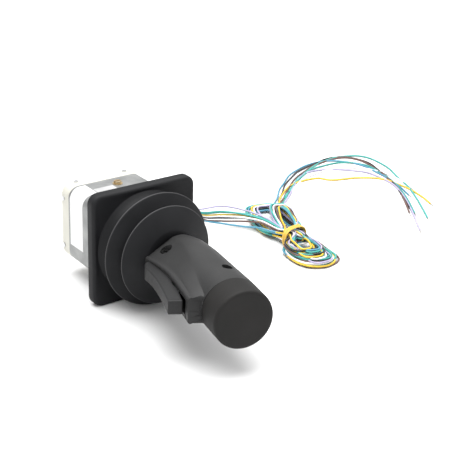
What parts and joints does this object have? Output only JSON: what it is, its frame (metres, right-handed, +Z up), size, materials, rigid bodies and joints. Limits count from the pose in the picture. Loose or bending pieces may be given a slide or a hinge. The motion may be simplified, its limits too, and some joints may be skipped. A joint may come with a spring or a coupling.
{
  "type": "industrial joystick",
  "caption": "Panel-mount hand joystick: two sprung tilt axes, a trigger in a moulded pistol-style handle, a square rubber boot, a boxed sensor housing and flying leads.",
  "frame": {"origin": "centre of the flange's panel side, on the axis of the upright handle", "axes": "+Y from the panel side into the housing, away from the handle; +X towards the lead exit; +Z up as the joystick lies on the edge of its flange"},
  "size_m": [0.3463, 0.2707, 0.08],
  "materials": {
    "boot_rubber": "matt moulded rubber, charcoal",
    "cap_rubber": "fine-grained rubber, near black",
    "handle_plastic": "matt moulded plastic with a fine grain, dark grey",
    "trigger_plastic": "satin moulded plastic, dark grey",
    "black_plastic": "moulded plastic, black",
    "die_cast": "die-cast, lightly blasted",
    "plate_metal": "machined plate",
    "zinc_cast": "zinc die casting, satin",
    "steel": "ground and zinc plated",
    "spring_steel": "drawn spring wire",
    "dark_screw": "blackened steel",
    "brass": "turned, slightly dull",
    "bronze": "sintered bronze",
    "magnet": "nickel-plated magnet",
    "cover_plastic": "moulded plastic, cream",
    "label_film": "bare white label film",
    "board": "glass-fibre circuit board, green",
    "wire_pvc": "soft PVC-insulated hook-up wire in eight colours"
  },
  "bodies": {
    "chassis": {"boot_base": "boot_rubber", "bellows_rear": "boot_rubber", "mounting_plate": "plate_metal", "housing": "die_cast", "housing_screws": "steel", "earth_screw": "brass", "side_label": "label_film", "top_label": "label_film", "rear_cover": "cover_plastic", "cover_screws": "dark_screw", "wire_grommet": "black_plastic", "sensor_board": "board", "hall_sensors": "black_plastic", "wire_header": "cover_plastic", "board_screws": "steel", "pivot_pins": "steel", "outer_spring": "spring_steel", "wire_lead": "wire_pvc", "wire_hank": "wire_pvc", "wire_tails": "wire_pvc"},
    "ring": {"gimbal_ring": "zinc_cast", "ring_bushes": "bronze", "inner_spring": "spring_steel"},
    "stick": {"pivot_block": "zinc_cast", "cross_pin": "steel", "centring_lever": "steel", "handle_shaft": "steel", "magnet_holder": "black_plastic", "stick_magnet": "magnet", "shaft_sleeve": "zinc_cast", "sleeve_pin": "steel", "bellows_front": "boot_rubber", "handle_upper": "handle_plastic", "handle_lower": "handle_plastic", "handle_screws": "dark_screw", "end_cap": "cap_rubber", "trigger_sensor": "board"},
    "trigger": {"trigger": "trigger_plastic", "trigger_pin": "steel", "trigger_magnet": "magnet", "trigger_spring": "spring_steel"}
  },
  "joints": [
    {"name": "side_tilt", "type": "hinge", "parent": "chassis", "child": "ring", "pos_m": [0, 0.014, 0], "axis": [0, 0, 1], "range_deg": [-18, 18], "stiffness_Nm_per_rad": 6, "deforming": ["bellows_rear", "outer_spring"]},
    {"name": "up_tilt", "type": "hinge", "parent": "ring", "child": "stick", "pos_m": [0, 0.014, 0], "axis": [1, 0, 0], "range_deg": [-18, 18], "stiffness_Nm_per_rad": 6, "deforming": ["bellows_front", "inner_spring"]},
    {"name": "trigger_pull", "type": "hinge", "parent": "stick", "child": "trigger", "pos_m": [-0.0184, -0.05, 0], "axis": [0, 0, 1], "range_deg": [0, 8], "stiffness_Nm_per_rad": 1.2, "springref_deg": -4.58, "deforming": ["trigger_spring"]}
  ]
}
